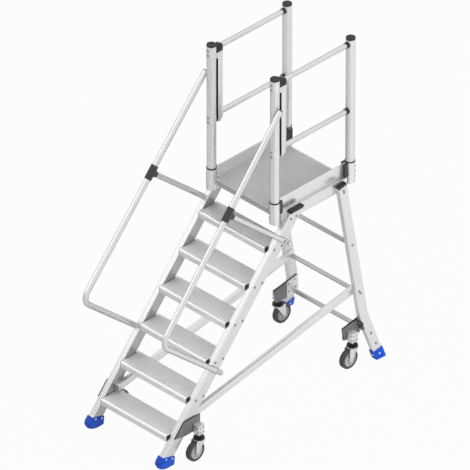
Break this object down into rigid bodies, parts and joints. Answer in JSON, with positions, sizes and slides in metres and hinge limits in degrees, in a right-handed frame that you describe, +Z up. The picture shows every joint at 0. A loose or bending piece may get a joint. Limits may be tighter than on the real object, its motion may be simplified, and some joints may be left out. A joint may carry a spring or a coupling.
{
  "type": "podium step",
  "caption": "Mobile aluminium platform stair with ribbed treads, guard rails, two bent handrails, splayed rear legs, blue plastic feet and sprung swivel castors.",
  "frame": {"origin": "Middle of the overall box in X and Y, on the floor that the wheels stand on.", "axes": "+X to the right seen from the foot of the stair, +Y from the stair to the rear legs, +Z up."},
  "size_m": [0.8868, 1.9682, 2.486],
  "materials": {
    "aluminium_profile": "satin, drawn along the profile",
    "aluminium_tube": "satin, drawn along the tube",
    "aluminium_ribbed": "ribbed against slipping, dull",
    "black_plastic": "fine moulded grain",
    "blue_plastic": "fine moulded grain",
    "zinc_steel": "zinc plated",
    "dark_steel": "dark powder coat",
    "castor_alloy": "cast, blasted",
    "fork_steel": "pressed, zinc plated",
    "spring_steel": "oiled",
    "wheel_tyre": "grey rubber on a grey hub"
  },
  "bodies": {
    "frame": {"stringer_left": "aluminium_profile", "stringer_right": "aluminium_profile", "side_beam_left": "aluminium_profile", "side_beam_right": "aluminium_profile", "toe_boards": "aluminium_profile", "cross_beams": "aluminium_profile", "rear_leg_left": "aluminium_profile", "rear_leg_right": "aluminium_profile", "braces": "aluminium_profile", "guard_uprights": "aluminium_profile", "post_front_left": "aluminium_tube", "post_front_right": "aluminium_tube", "post_rear_left": "aluminium_tube", "post_rear_right": "aluminium_tube", "post_sockets": "aluminium_tube", "top_rails": "aluminium_tube", "knee_rails": "aluminium_tube", "handrail_left": "aluminium_tube", "handrail_right": "aluminium_tube", "handrail_struts": "aluminium_tube", "rear_rungs": "aluminium_tube", "tread_1": "aluminium_ribbed", "tread_2": "aluminium_ribbed", "tread_3": "aluminium_ribbed", "tread_4": "aluminium_ribbed", "tread_5": "aluminium_ribbed", "tread_6": "aluminium_ribbed", "deck": "aluminium_ribbed", "tread_end_caps": "black_plastic", "profile_caps": "black_plastic", "socket_rings": "black_plastic", "post_caps": "black_plastic", "rail_bushes": "black_plastic", "upright_strips": "black_plastic", "rail_elbows": "black_plastic", "handrail_clamps": "black_plastic", "handrail_plugs": "black_plastic", "corner_connectors": "black_plastic", "front_feet": "blue_plastic", "rear_feet": "blue_plastic", "tread_bolts": "zinc_steel", "frame_bolts": "zinc_steel", "castor_brackets": "dark_steel", "castor_housings": "castor_alloy", "spring_front_left": "spring_steel", "spring_front_right": "spring_steel", "spring_rear_left": "spring_steel", "spring_rear_right": "spring_steel"},
    "sprung_front_left": {"stem_front_left": "black_plastic"},
    "swivel_front_left": {"fork_front_left": "fork_steel"},
    "roller_front_left": {"wheel_front_left": "wheel_tyre"},
    "sprung_front_right": {"stem_front_right": "black_plastic"},
    "swivel_front_right": {"fork_front_right": "fork_steel"},
    "roller_front_right": {"wheel_front_right": "wheel_tyre"},
    "sprung_rear_left": {"stem_rear_left": "black_plastic"},
    "swivel_rear_left": {"fork_rear_left": "fork_steel"},
    "roller_rear_left": {"wheel_rear_left": "wheel_tyre"},
    "sprung_rear_right": {"stem_rear_right": "black_plastic"},
    "swivel_rear_right": {"fork_rear_right": "fork_steel"},
    "roller_rear_right": {"wheel_rear_right": "wheel_tyre"}
  },
  "joints": [
    {"name": "castor_spring_front_left", "type": "slide", "parent": "frame", "child": "sprung_front_left", "axis": [0, 0, 1], "range_m": [-0.004, 0.026], "stiffness_N_per_m": 8000, "springref_m": -0.025, "deforming": ["spring_front_left"]},
    {"name": "castor_swivel_front_left", "type": "hinge", "parent": "sprung_front_left", "child": "swivel_front_left", "pos_m": [-0.377, -0.66028, 0.153], "axis": [0, 0, 1], "continuous": true},
    {"name": "wheel_roll_front_left", "type": "hinge", "parent": "swivel_front_left", "child": "roller_front_left", "pos_m": [-0.377, -0.62528, 0.07], "axis": [1, 0, 0], "continuous": true},
    {"name": "castor_spring_front_right", "type": "slide", "parent": "frame", "child": "sprung_front_right", "axis": [0, 0, 1], "range_m": [-0.004, 0.026], "stiffness_N_per_m": 8000, "springref_m": -0.025, "deforming": ["spring_front_right"]},
    {"name": "castor_swivel_front_right", "type": "hinge", "parent": "sprung_front_right", "child": "swivel_front_right", "pos_m": [0.377, -0.66028, 0.153], "axis": [0, 0, 1], "continuous": true},
    {"name": "wheel_roll_front_right", "type": "hinge", "parent": "swivel_front_right", "child": "roller_front_right", "pos_m": [0.377, -0.69528, 0.07], "axis": [1, 0, 0], "continuous": true},
    {"name": "castor_spring_rear_left", "type": "slide", "parent": "frame", "child": "sprung_rear_left", "axis": [0, 0, 1], "range_m": [-0.004, 0.026], "stiffness_N_per_m": 8000, "springref_m": -0.025, "deforming": ["spring_rear_left"]},
    {"name": "castor_swivel_rear_left", "type": "hinge", "parent": "sprung_rear_left", "child": "swivel_rear_left", "pos_m": [-0.338, 0.77561, 0.153], "axis": [0, 0, 1], "continuous": true},
    {"name": "wheel_roll_rear_left", "type": "hinge", "parent": "swivel_rear_left", "child": "roller_rear_left", "pos_m": [-0.338, 0.81061, 0.07], "axis": [1, 0, 0], "continuous": true},
    {"name": "castor_spring_rear_right", "type": "slide", "parent": "frame", "child": "sprung_rear_right", "axis": [0, 0, 1], "range_m": [-0.004, 0.026], "stiffness_N_per_m": 8000, "springref_m": -0.025, "deforming": ["spring_rear_right"]},
    {"name": "castor_swivel_rear_right", "type": "hinge", "parent": "sprung_rear_right", "child": "swivel_rear_right", "pos_m": [0.338, 0.77561, 0.153], "axis": [0, 0, 1], "continuous": true},
    {"name": "wheel_roll_rear_right", "type": "hinge", "parent": "swivel_rear_right", "child": "roller_rear_right", "pos_m": [0.338, 0.74061, 0.07], "axis": [1, 0, 0], "continuous": true}
  ]
}
